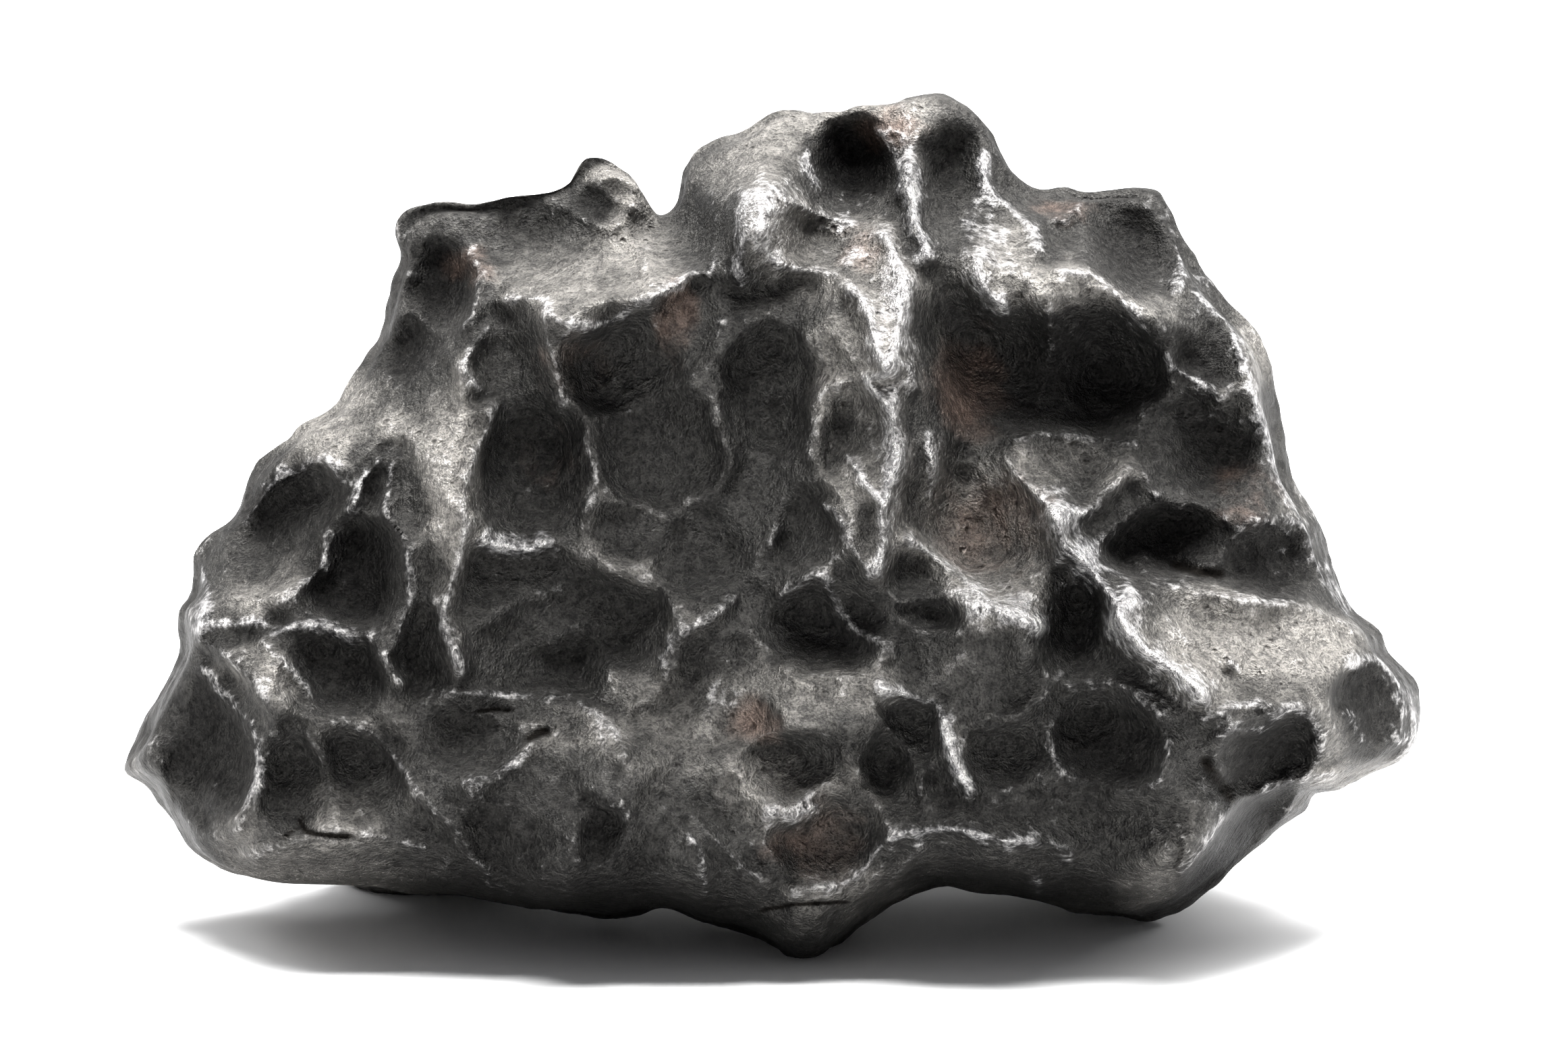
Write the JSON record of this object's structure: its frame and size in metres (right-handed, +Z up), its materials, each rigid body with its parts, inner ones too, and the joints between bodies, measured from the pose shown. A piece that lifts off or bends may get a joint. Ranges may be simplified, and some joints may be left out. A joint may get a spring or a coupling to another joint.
{
  "type": "meteorite",
  "caption": "Iron meteorite: a heavy mountain-shaped lump of dark metal, worn all over into thumbprint hollows with sharp shiny crests, standing on small worn feet.",
  "frame": {"origin": "on the ground, under the middle of the part's bounding box", "axes": "+Z up, +X along the longest side towards the wing with the rounded lobe, +Y through the thickness towards the plain back, so the hollowed front looks towards -Y"},
  "size_m": [0.1986, 0.1172, 0.1261],
  "materials": {
    "iron": "dark worn fusion crust over bare iron, polished bright along the crests"
  },
  "bodies": {
    "root": {"meteorite": "iron"}
  },
  "joints": []
}
